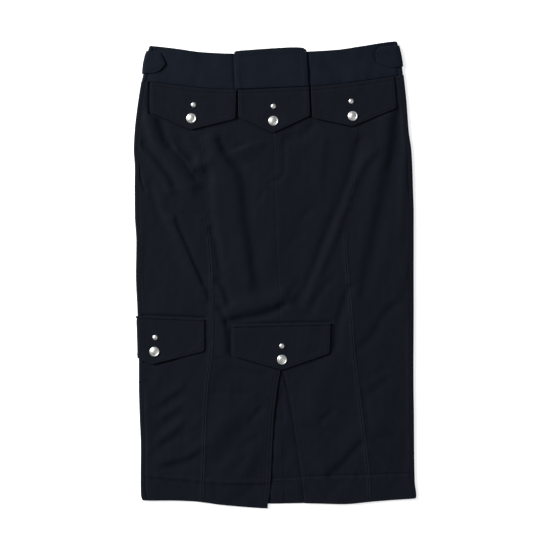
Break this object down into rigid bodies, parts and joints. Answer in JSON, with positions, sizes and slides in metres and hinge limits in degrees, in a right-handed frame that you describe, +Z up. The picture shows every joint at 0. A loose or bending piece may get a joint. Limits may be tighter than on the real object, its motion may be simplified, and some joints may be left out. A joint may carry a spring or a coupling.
{
  "type": "cargo utility skirt",
  "caption": "A knee-length skirt in dark twill laid flat, with a waistband, side tabs, snap flaps at waist and thigh and a front slit.",
  "frame": {"origin": "on the surface that the skirt lies on, under the middle of its bounding box", "axes": "+X towards the right of the front as seen, +Y from the hem towards the waist, +Z up from the surface, out of the front"},
  "size_m": [0.4246, 0.7008, 0.0103],
  "materials": {
    "twill": "fine dark navy cotton twill with a faint sheen",
    "waist_twill": "the same twill, pressed flat over interlining",
    "zip_tape": "woven polyester tape",
    "snap_steel": "polished pale nickel"
  },
  "bodies": {
    "root": {"back_panel_l": "twill", "back_panel_r": "twill", "front_side_l": "twill", "front_side_r": "twill", "front_centre_l": "twill", "front_centre_r": "twill", "waistband_front": "waist_twill", "waistband_back_l": "waist_twill", "waistband_back_r": "waist_twill", "centre_tab": "waist_twill", "side_tab_l": "waist_twill", "side_tab_r": "waist_twill", "flap_waist_l": "twill", "flap_waist_c": "twill", "flap_waist_r": "twill", "flap_low_side": "twill", "flap_low_centre": "twill", "snap_cap_waist_l": "snap_steel", "snap_cap_waist_c": "snap_steel", "snap_cap_waist_r": "snap_steel", "snap_cap_low_side": "snap_steel", "snap_cap_low_centre": "snap_steel", "rivet_waist_l": "snap_steel", "rivet_waist_c": "snap_steel", "rivet_waist_r": "snap_steel", "rivet_low_side": "snap_steel", "rivet_low_centre": "snap_steel", "zip_tape": "zip_tape"}
  },
  "joints": []
}
